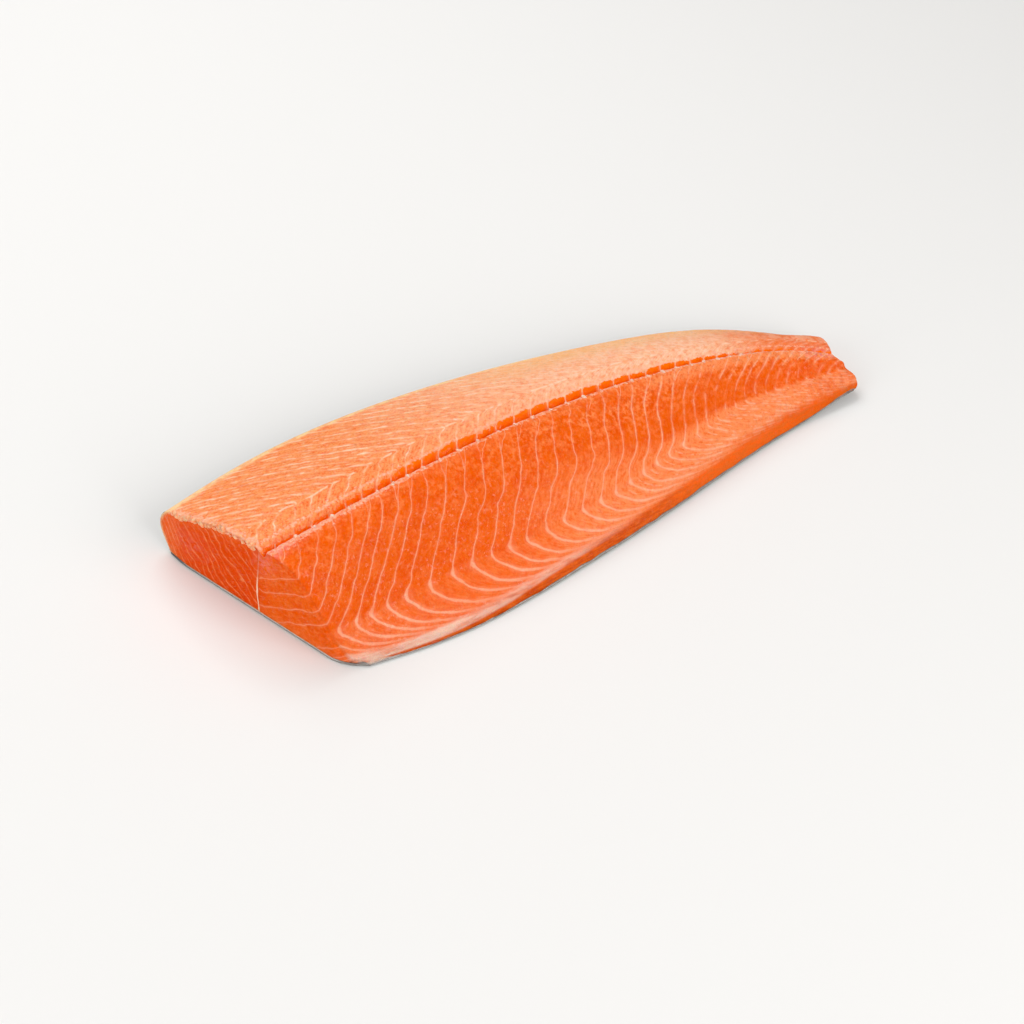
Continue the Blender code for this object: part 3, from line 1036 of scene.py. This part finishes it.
def fibre_cells(nodes, size_mm):
    """1 in the middle of soft, uneven cells and 0 between them."""
    shake = nodes.noise(1.6 * size_mm, output="Color")
    moved = nodes.vector("MULTIPLY_ADD", {0: shake, 1: (size_mm * MM,) * 3, 2: nodes.spot})
    voronoi = {"Vector": moved, "Scale": 1.0 / (size_mm * MM), "Smoothness": 0.35}
    distance = nodes.add("ShaderNodeTexVoronoi", voronoi, "Distance", feature="SMOOTH_F1")
    return distance.falling(0.0, 0.8)


def fibre_layers(nodes):
    """Fibres lie in thin layers beside the sheets of fat, so some mottling runs along them."""
    across = nodes.attribute("fat_phase") * 7.0 + nodes.noise(5.0) * 1.5
    where = nodes.xyz(across, nodes.attribute("girth") * 34.0)
    return nodes.add("ShaderNodeTexNoise", {"Vector": where, "Scale": 1.0, "Detail": 2.5})


def muscle(nodes, layers, small_cells):
    """Pale clusters of fibre ends on a deeper orange, paler still where pallor carries a painted highlight.
    """
    known, clusters = nodes.attribute, nodes.clusters
    mottle, pallor = known("mottle"), known("pallor")
    colour = nodes.mix(clusters(9.0, 0.4, 0.65), MUSCLE, MUSCLE_DEEP)
    pale = layers.rising(0.3, 0.62) * 0.5 + clusters(1.6, 0.35, 0.6, detail=3.0) * 0.35 + 0.15
    # Near the tail pallor also carries the painted highlight on the top of the lobe.
    colour = nodes.mix(pallor * pale, colour, MUSCLE_PALE)
    fleck = clusters(2.4, 0.44, 0.62, detail=3.0, Roughness=0.6) * clusters(8.0, 0.3, 0.6)
    fleck = fleck * mottle * 0.75 + layers.rising(0.48, 0.72) * (pallor * 0.3 + 0.2)
    fleck = fleck + small_cells * clusters(2.2, 0.4, 0.62, detail=3.0) * (mottle * 0.4 + 0.12)
    colour = nodes.mix(fleck, colour, FLECK)
    return nodes.mix(known("cut_face") * 0.9, colour, CUT_ORANGE)


# %% The loin and the side wall


def loin_and_wall(nodes, colour, layers, streaks):
    """The loin's fibres under a thin pale layer, with specks and a painted sheen, and the side wall with
    painted shade and painted light.
    """
    known, clusters = nodes.attribute, nodes.clusters
    specks = clusters(0.9, 0.4, 0.6, detail=3.0) * 0.5 + clusters(2.2, 0.4, 0.58) * 0.3
    specks = specks + layers.rising(0.36, 0.6) * 0.5
    peach = nodes.mix(specks, LOIN_ORANGE, LOIN_PEACH)
    pale_sheen_patches = clusters(2.4, 0.32, 0.66, detail=3.0) * 0.6 + layers.rising(0.4, 0.65) * 0.4 + 0.4
    peach = nodes.mix(known("loin_pale_and_sheen") * pale_sheen_patches, peach, LOIN_PALE_SHEEN)
    colour = nodes.mix(known("loin"), colour, peach)
    colour = nodes.mix(known("cream") * 0.7, colour, CREAM)
    # Near the cut the wall is painted darker as shade, and towards the tail painted brighter as light
    # falling on it.
    wall = nodes.mix(streaks, SIDE_SHADED_RED, SIDE_ORANGE)
    lit_wall = nodes.mix(streaks, SIDE_ORANGE, SIDE_LIT_ORANGE)
    wall = nodes.mix(known("rear_wall_light"), wall, lit_wall)
    colour = nodes.mix(known("side_wall") * 0.92, colour, wall)
    return nodes.mix(known("blush") * clusters(2.0, 0.35, 0.6), colour, BLUSH)


# %% The groove


def groove_blocks(nodes, colour, rag):
    """A bare orange block between each two sheets, rounded at its upper edge, and a red painted shade along
    the bottom of the groove.
    """
    girth, share = nodes.attribute("girth"), nodes.attribute("fat_phase").math("FRACT")
    arch = (share * math.pi).math("SINE").math("POWER", 0.3)
    block_top = arch * 0.01 + (nodes.noise(12.0) - 0.5) * 0.04 + rag + RIDGE
    block_top = block_top + nodes.attribute("block_reach")
    in_block = girth.rising(RIDGE, RIDGE + 0.003) * (girth - block_top).falling(-0.002, 0.002)
    colour = nodes.mix(in_block, colour, GROOVE_ORANGE)
    # Along the bottom of the groove a red line is painted as its shade.
    gap = girth.rising(RIDGE + 0.001, RIDGE + 0.004) * girth.falling(RIDGE + 0.013, RIDGE + 0.02)
    return nodes.mix(gap * arch * 0.9, colour, GROOVE_SHADE_RED), in_block


# %% The sheets of fat


def fat_lines(nodes, in_block):
    """How much fat shows at a point: lines with jogs and breaks, doubled lines and forks."""
    known, noise, clusters = nodes.attribute, nodes.noise, nodes.clusters
    girth, loin, on_cut, rate = (known(name) for name in ("girth", "loin", "cut_face", "fat_rate"))
    wander = (noise(5.0) - 0.5) * (loin * 0.3 + on_cut * 0.5 + 0.05)
    wander = wander + (noise(14.0) - 0.5) * on_cut * 2.0 + (noise(1.2) - 0.5) * 0.03
    jog = clusters(9.0, 0.38, 0.62, detail=0.0) * 0.1
    phase = known("fat_phase") + wander + jog
    width = known("fat_width") * (noise(3.5) * 1.5 + 0.25)
    gaps = known("broken")
    present = clusters(4.5, 0.42, 0.56, detail=1.0) * gaps + gaps * -1.0 + 1.0
    present = present * (noise(13.0) * 1.1 + 0.45)
    present = present * ((clusters(8.0, 0.38, 0.58) - 1.0) * loin * 0.6 + 1.0)

    def line_at(shift, start, end):
        to_line = abs((phase + shift + 0.5).math("FRACT") - 0.5) / rate
        return to_line.falling(start, end)

    core = line_at(0.0, width * 0.3, width * 1.8)
    halo = line_at(0.0, 0.0, width * 5.0) * (known("rear_wall_light") * 0.25 + 0.25)
    fat = core.math("MAXIMUM", halo) * known("fat_strength") * present
    doubled = line_at(0.5, 0.0, width * 1.8) * clusters(3.7, 0.48, 0.62) * known("doubling")
    # Some sheets fork near the ridge.
    block = {"W": known("fat_phase").math("FLOOR")}
    chance = nodes.add("ShaderNodeTexWhiteNoise", block, "Value", noise_dimensions="1D")
    forked = chance.rising(0.45, 0.55) * girth.rising(RIDGE - 0.11, RIDGE - 0.09)
    forked = forked * girth.falling(RIDGE - 0.01, RIDGE)
    fork_shift = girth.rising(RIDGE - 0.1, RIDGE) * -0.34
    fork = line_at(fork_shift, width * 0.3, width * 1.6) * forked * 0.55
    # In the groove, a thin line between each two blocks.
    between = abs((known("fat_phase") + 0.5).math("FRACT") - 0.5).falling(0.015, 0.06)
    for other in (doubled, fork, between * in_block * 0.6):
        fat = fat.math("MAXIMUM", other)
    return fat


# %% Seams, rims and the thin veils


def fat_colours(nodes, colour, fat, small_cells, rag, drawn):
    """Lays the fat and every other pale layer over the colour of the muscle."""
    known, clusters = nodes.attribute, nodes.clusters
    seam = abs(known("seam_mm")).falling(0.15, 0.9) * clusters(5.0, 0.47, 0.58) * 0.75
    whiter = known("loin").math("MAXIMUM", known("rear_wall_light") * 0.5)
    fat_colour = nodes.mix(known("cut_face") * 0.8, nodes.mix(whiter, FAT, PALE_FAT), CUT_FAT)
    colour = nodes.mix(fat.math("MAXIMUM", seam), colour, fat_colour)
    septum_width = clusters(5.0, 0.3, 0.7) * 0.3 + 0.25
    septum = abs(known("septum_mm")).falling(septum_width * 0.3, septum_width)
    colour = nodes.mix(septum * known("septum"), colour, PALE_FAT)
    rim = (known("rim") + (nodes.noise(1.3, detail=3.0) - 0.5) * 2.0).rising(0.5, 0.85)
    colour = nodes.mix(rim * (small_cells * 0.8 + 0.4), colour, RIM_PINK)
    edge_line = abs(known("girth") - RIDGE + 0.001 - rag * 0.3).falling(0.0015, 0.005)
    colour = nodes.mix(edge_line * clusters(2.6, 0.36, 0.56) * 0.9, colour, RIM_PINK)
    veil = clusters(2.4, 0.3, 0.62, detail=3.0, where=drawn) * 0.6 + 0.4
    colour = nodes.mix(known("membrane") * veil, colour, MEMBRANE)
    back_fat = known("back_fat") * (clusters(4.0, 0.4, 0.6) * 0.6 + 0.4)
    return nodes.mix(back_fat, colour, EDGE_FAT)


# %% The layers of the flesh, and its wet surface


def flesh_material():
    """Layer on layer: muscle, loin and wall, groove, fat, and the wet surface."""
    material, nodes, shader = new_material("raw salmon flesh")
    small_cells, large_cells = fibre_cells(nodes, 1.3), fibre_cells(nodes, 3.0)
    layers = fibre_layers(nodes)
    drawn = nodes.vector("MULTIPLY", {0: nodes.spot, 1: (0.2, 1.0, 1.0)})
    streaks = nodes.clusters(1.3, 0.36, 0.66, detail=3.0, where=drawn)
    rag = (nodes.noise(1.4) - 0.5) * 0.022
    colour = muscle(nodes, layers, small_cells)
    colour = loin_and_wall(nodes, colour, layers, streaks)
    colour, in_block = groove_blocks(nodes, colour, rag)
    fat = fat_lines(nodes, in_block)
    colour = fat_colours(nodes, colour, fat, small_cells, rag, drawn)
    rough = nodes.noise(2.2, detail=3.0) * 0.3 + 0.24 + fat * 0.08
    grain = small_cells * 0.7 + large_cells * nodes.attribute("mottle") * 2.0
    grain = grain + nodes.noise(0.9) * 0.9 + fat * 0.3 + layers * 0.8
    wet = nodes.clusters(1.6, 0.54, 0.7, detail=3.0) * 0.6 + 0.04
    finish_with(nodes, shader, Base_Color=colour, Roughness=rough, Normal=nodes.bump(grain, 0.8, 0.5),
                Subsurface_Weight=0.3, Subsurface_Scale=1.0 * MM, Subsurface_Radius=(3.0, 0.9, 0.4),
                Specular_IOR_Level=0.0, Coat_Weight=wet, Coat_Roughness=0.12)
    return material


run_tree(flesh, relief_tree(), flesh_material())

# %% [markdown]
# ## The skin
# Salmon skin is under a millimetre thick. From above only its edge shows, as a silver
# line along the belly, but from behind it covers the whole back. It is a single sheet
# that starts on the belly wall, runs under the fillet and climbs the back, and a Solidify
# modifier gives it its thickness inwards.

# %% Skin sheet
SKIN_THICK = 0.8
SKIN_FLOOR = 0.55
skin_stations = np.linspace(0.0045, 0.9955, 190)


def skin_sheet(station):
    """The outer side of the skin: rows from the belly wall to the back edge."""
    across, height = guides(station)
    base, edge = height[0], across[0]
    reach = mix(0.25, 0.8, band(station, 0.3, 0.86, 0.08)) + 0.3 * ripples(station, 0, 0.02, 1, 21)
    side = top_surface(station, np.linspace(0, SHOULDER, 16))
    rise = (side[..., 2] - base) / (side[-1, :, 2] - base)
    wall_z = base + mix(SKIN_FLOOR, LIFT + reach, np.linspace(1, 0.1, 4)[:, None])
    wall_rise = (wall_z - base - LIFT) / (side[-1, :, 2] - base - LIFT)
    wall_y = [np.interp(*line) for line in zip(wall_rise.T, rise.T, side[..., 1].T)]
    wall_y = np.transpose(wall_y) - 0.3
    foot = back_surface(station, np.array((1.0,)))[0, :, 1]
    under_y = mix(edge + 0.25, foot - 1.2, np.linspace(0, 1, 30)[:, None])
    under_z = np.broadcast_to(base + SKIN_FLOOR, under_y.shape)
    climb = np.linspace(0.985, 0.135, 16)
    # Towards its upper edge it lies closer to the flesh.
    behind = back_surface(station, climb, inset=0.2 * ease(0.3, 0.13, climb[:, None]) - 0.15)
    behind[..., 2] = np.maximum(behind[..., 2], base + SKIN_FLOOR + 0.25)
    parts = (placed(station, wall_y, wall_z), placed(station, under_y, under_z), behind)
    return np.concatenate(parts)


sheet = skin_sheet(skin_stations)
# Along the floor the skin reaches the cut, and elsewhere it ends just behind it.
flat_part = np.abs(np.gradient(sheet[:, 0, 2])) < 0.3
first_station = np.where(flat_part, -0.0006, 0.0025)
sheet = np.concatenate((placed(first_station, *sheet[:, 0, 1:].T)[:, None], sheet), axis=1)
skin_stations = np.concatenate(((0.0,), skin_stations))
skin_rows, skin_columns = sheet.shape[:2]
# The rows run the other way round the fillet than those of the flesh, so the faces turn.
skin_faces = grid_faces(skin_rows, skin_columns, closed=False)[:, ::-1].tolist()
skin = new_object("skin", sheet.reshape(-1, 3), skin_faces)
steps = np.linalg.norm(np.diff(sheet, axis=0), axis=-1).mean(1)
girth_share = np.concatenate(((0,), np.cumsum(steps))) / steps.sum()
v, u = np.meshgrid(girth_share, skin_stations, indexing="ij")
store(skin, "girth_share", v)
store(skin, "place", np.stack((u, v, np.zeros_like(u)), axis=-1), "FLOAT_VECTOR", "vector")
print("skin girth:", round(float(steps.sum()), 1), "mm")

# %% Skin material
SILVER = srgb(180, 173, 166)
STEEL = srgb(92, 104, 108)
DARK_BACK = srgb(38, 48, 52)
SPOT_BLACK = srgb(16, 18, 20)


def skin_material(name, tint_name):
    material, nodes, shader = new_material(name)
    share = nodes.attribute("girth_share") + (nodes.noise(14.0) - 0.5) * 0.12
    colour = nodes.mix(share.rising(0.55, 0.82), SILVER, STEEL)
    colour = nodes.mix(share.rising(0.84, 0.96), colour, DARK_BACK)
    spots = nodes.clusters(6.5, 0.68, 0.74, detail=0.0) * share.rising(0.8, 0.88)
    colour = nodes.mix(spots, colour, SPOT_BLACK)
    tint = nodes.attribute(tint_name) if tint_name else nodes.noise(2.0)
    shade = nodes.mix(tint, srgb(150, 150, 150), srgb(255, 255, 255))
    colour = nodes.mix(1.0, colour, shade, "MULTIPLY")
    rough = nodes.noise(1.6, detail=3.0) * 0.2 + 0.2
    bump = nodes.bump(nodes.noise(0.7), 0.3, 0.1)
    finish_with(nodes, shader, Base_Color=colour, Roughness=rough, Normal=bump,
                Metallic=0.45, Coat_Weight=0.4, Coat_Roughness=0.12)
    return material


skin.data.materials.append(skin_material("salmon skin", None))

# %% Give the skin its thickness
sheet_mesh = skin.data.copy()
shell = skin.modifiers.new("thickness", "SOLIDIFY")
shell.thickness = SKIN_THICK * MM
shell.offset = -1.0
keep_result(skin)

# %% [markdown]
# ## Scales
# Scales lie in staggered rows like roof tiles, each tilted so that its rear edge stands
# on the next. Geometry Nodes lay them: a grid of points is placed on the skin through its
# own station and girth, and a tiny plate is put on each, turned to the tail. Thousands of
# copies stay light because one plate has only a few faces.

# %% Scale tree
SCALES = {
    "Rows along": 108,
    "Rows around": 46,
    "Scale length": 2.15 * MM,
    "Scale width": 1.75 * MM,
    "Scale thickness": 0.16 * MM,
    "Tilt": math.radians(4.5),
    "Seed": 7,
}


def scale_tree():
    """Plates in staggered rows on a skin, which has its own place stored on it."""
    nodes = Tree("scales on a skin", SCALES)
    given, field, chance = nodes.given, nodes.field, nodes.chance
    vector = "FLOAT_VECTOR"
    along_count, around_count = given("Rows along"), given("Rows around")
    grid = {"Size X": 1.0, "Size Y": 1.0, "Vertices X": along_count, "Vertices Y": around_count}
    index = nodes.add("GeometryNodeInputIndex")
    row = index.math("MODULO", around_count).math("FLOOR")
    column = (index / around_count).math("FLOOR")
    stagger = column.math("MODULO", 2.0) * 0.5
    u = (column + 0.5 + chance(-0.12, 0.12, 1)) / along_count * 0.985 + 0.008
    v = (row + 0.25 + stagger + chance(-0.08, 0.08, 2)) / around_count * 0.92 + 0.05

    def on_skin(u, v, kind, value):
        """What the skin has at a place given by its own station and girth."""
        inputs = {"Mesh": given("Geometry"), "Value": value, "UV Map": field("place", vector)}
        inputs["Sample UV"] = nodes.xyz(u, v)
        return nodes.add("GeometryNodeSampleUVSurface", inputs, "Value", data_type=kind)

    here = on_skin(u, v, vector, nodes.spot)
    ahead = nodes.vector("SUBTRACT", {0: on_skin(u + 0.006, v, vector, nodes.spot), 1: here})
    size = (u.rising(0.55, 1.0) * -0.45 + 1.0) * chance(0.92, 1.06, 4)
    scale = nodes.xyz(given("Scale length") * size, given("Scale width") * size,
                      given("Scale thickness"))
    stored = {
        "out": (vector, on_skin(u, v, vector, nodes.add("GeometryNodeInputNormal"))),
        "ahead": (vector, ahead),
        "girth_share": ("FLOAT", on_skin(u, v, "FLOAT", field("girth_share"))),
        "tint": ("FLOAT", chance(0.0, 1.0, 3)),
        "plate_size": (vector, scale),
    }
    points = nodes.moved(nodes.add("GeometryNodeMeshGrid", grid), Position=here)
    for name, (kind, value) in stored.items():
        inputs = {"Geometry": points, "Name": name, "Value": value}
        points = nodes.add("GeometryNodeStoreNamedAttribute", inputs, data_type=kind, domain="POINT")
    plate = {"Vertices": 8, "Radius Top": 0.72, "Radius Bottom": 1.0, "Depth": 1.0}
    plate = nodes.add("GeometryNodeMeshCone", plate)
    axes = {"Primary Axis": field("out", vector), "Secondary Axis": field("ahead", vector)}
    facing = nodes.add("FunctionNodeAxesToRotation", axes, primary_axis="Z", secondary_axis="X")
    lean_back = {0: facing, 1: nodes.xyz(y=given("Tilt") * -1.0)}
    turn = nodes.add("FunctionNodeRotateRotation", lean_back, rotation_space="LOCAL")
    return nodes.end(nodes.copies(points, plate, turn, field("plate_size", vector)))


scales = bpy.data.objects.new("scales", sheet_mesh)
scene.collection.objects.link(scales)
run_tree(scales, scale_tree(), skin_material("salmon scales", "tint"))

# %% [markdown]
# ## Knots of fat along the groove
# Where a sheet of fat crosses the ridge, a small white knot of it stands up. One tree puts
# soft pebbles there, three at each crossing, each with its own size and turn. Near the
# tail the knots are too small to see, so none are made there.

# %% Knots
KNOTS = {"Knot length": 0.95 * MM, "Knot width": 0.7 * MM, "Unevenness": 0.5 * MM, "Seed": 3}
KNOT_GIRTHS = RIDGE - 0.007, RIDGE - 0.003, RIDGE + 0.001
KNOTS_END = 0.84
KNOT_SCATTER = 0.0022
KNOT_SINK = 0.25
crossings = stations_of_whole(RIDGE + 0.004)
crossings = crossings[crossings < KNOTS_END]
chances = np.random.default_rng(31)
knot_points = []
for crossing in crossings:
    for girth in KNOT_GIRTHS:
        here = crossing + chances.uniform(-KNOT_SCATTER, KNOT_SCATTER)
        knot_points.append(top_surface(np.array((here,)), np.array((girth,)))[0, 0])
knot_points = np.array(knot_points) - np.array((0.0, 0.0, KNOT_SINK))
knots = new_object("fat_knots", knot_points, [])


def knot_tree(inputs):
    """An uneven pebble on every point."""
    nodes = Tree("knots of fat", inputs)
    given, chance = nodes.given, nodes.chance
    pebble = nodes.add("GeometryNodeMeshIcoSphere", {"Radius": 1.0, "Subdivisions": 2})
    size = chance(0.4, 1.1, 1)
    wide = given("Knot width") * size
    scale = nodes.xyz(wide, given("Knot length") * size, wide)
    turn = nodes.xyz(x=chance(-0.3, 0.3, 2), z=chance(-0.2, 0.9, 3))
    pebbles = nodes.real(nodes.copies(given("Geometry"), pebble, turn, scale))
    noise = nodes.noise(1.1, detail=1.0, output="Color")
    away = nodes.vector("SUBTRACT", {0: noise, 1: (0.5, 0.5, 0.5)})
    offset = nodes.vector("SCALE", {0: away, "Scale": given("Unevenness")})
    uneven = nodes.moved(pebbles, Offset=offset)
    return nodes.end(nodes.add("GeometryNodeSetShadeSmooth", {"Geometry": uneven}))


def fat_material(name, deep, pale):
    material, nodes, shader = new_material(name)
    colour = nodes.mix(nodes.clusters(1.4, 0.3, 0.7), deep, pale)
    bump = nodes.bump(nodes.noise(0.6), 0.5, 0.2)
    rough = nodes.noise(1.0) * 0.2 + 0.25
    finish_with(nodes, shader, Base_Color=colour, Roughness=rough, Normal=bump,
                Subsurface_Weight=0.4, Subsurface_Scale=1.0 * MM, Subsurface_Radius=(2.0, 1.0, 0.7))
    return material


knot_fat = fat_material("white fat", srgb(252, 160, 124), srgb(255, 212, 190))
run_tree(knots, knot_tree(KNOTS), knot_fat)

# %% [markdown]
# ## The fringe of the cut
# The knife drags the thin pale layer that lies on the loin, and it hangs over the top of
# the cut in small drops. They are the same pebbles, in a row along the edge.

# %% Fringe
FRINGE_COUNT = 84
# The drops hang along the loin's half of the edge, a little below it and partly in it.
fringe_y = np.sort(chances.uniform(1.0, 45.0, FRINGE_COUNT))
fringe_z = np.interp(fringe_y, sharp_ring[:top_rows, 0, 1], sharp_ring[:top_rows, 0, 2])
fringe_z -= chances.uniform(0.3, 2.2, FRINGE_COUNT)
fringe_x = cut_x(fringe_y) + chances.uniform(0.4, 1.2, FRINGE_COUNT)
fringe_points = np.column_stack((fringe_x, fringe_y, fringe_z))
fringe = new_object("cut_fringe", fringe_points, [])
FRINGE = {"Knot length": 1.7 * MM, "Knot width": 1.1 * MM, "Unevenness": 1.4 * MM, "Seed": 8}
fringe_fat = fat_material("fringe fat", srgb(255, 126, 60), srgb(255, 190, 144))
run_tree(fringe, knot_tree(FRINGE), fringe_fat)

# %% [markdown]
# ## What belongs to what
# The solid of the frame is hidden, and the flesh stands for it. Every piece rides on the
# one body.

# %% Ride on the frame
for piece, slot in ((flesh, "flesh"), (skin, "skin"), (scales, "skin"), (knots, "flesh"), (fringe, "flesh")):
    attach(piece, "root")
    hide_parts("fillet")

# %% [markdown]
# ## Floor and light
# A pale floor, and soft light as from a studio's large screens: the key high behind the
# back edge, so that the loin gleams, one from the front and one from the side to open the
# shadows on the belly side and the cut, and a small one for the wet glints.

# %% Floor
FLOOR_HALF = 3.0
floor_mesh = bpy.data.meshes.new("floor")
corners = [(x, y, 0.0) for x, y in ((-1, -1), (1, -1), (1, 1), (-1, 1))]
floor_mesh.from_pydata([[c * FLOOR_HALF for c in corner] for corner in corners], [], [(0, 1, 2, 3)])
floor = bpy.data.objects.new("floor", floor_mesh)
scene.collection.objects.link(floor)
floor_material, floor_nodes, floor_shader = new_material("pale floor")
finish_with(floor_nodes, floor_shader, Base_Color=srgb(232, 231, 229), Roughness=0.85)
floor_mesh.materials.append(floor_material)
floor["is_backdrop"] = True

# %% Lights


def softbox(name, place, aim, size, power):
    """A large square lamp at a place, in metres, turned to aim at a point."""
    lamp = bpy.data.lights.new(name, "AREA")
    lamp.size = size
    lamp.energy = power
    holder = bpy.data.objects.new(name, lamp)
    scene.collection.objects.link(holder)
    holder.location = place
    direction = aim - np.array(place)
    holder.rotation_euler = Vector(direction).to_track_quat("-Z", "Y").to_euler()


# Name, place in metres, size in metres and power in watts.
LAMPS = (
    ("key", (-0.15, 0.75, 1.0), 0.9, 7.4),
    ("front", (0.3, -1.0, 0.7), 1.0, 9.2),
    ("side", (-1.1, -0.1, 0.5), 0.8, 4.6),
    ("glint", (0.3, 0.6, 0.95), 0.16, 0.8),
)
middle = np.array((0.0, 0.0, 0.02))
for name, place, size, power in LAMPS:
    softbox(name, place, middle, size, power)
world = bpy.data.worlds.new("studio")
world.use_nodes = True
background = world.node_tree.nodes["Background"]
background.inputs["Color"].default_value = (1.0, 0.99, 0.98, 1.0)
background.inputs["Strength"].default_value = 0.4
scene.world = world

# %% [markdown]
# ## Size
# The last step measures the finished fillet and prints its box beside the frame's box.

# %% Measure and finish
visual_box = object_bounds()
boxes = {"cad": [list(corner) for corner in cad_box], "visual": [list(corner) for corner in visual_box]}
for name, (lowest_corner, highest_corner) in boxes.items():
    print(name, "box, mm:", [round((b - a) / MM, 1) for a, b in zip(lowest_corner, highest_corner)])
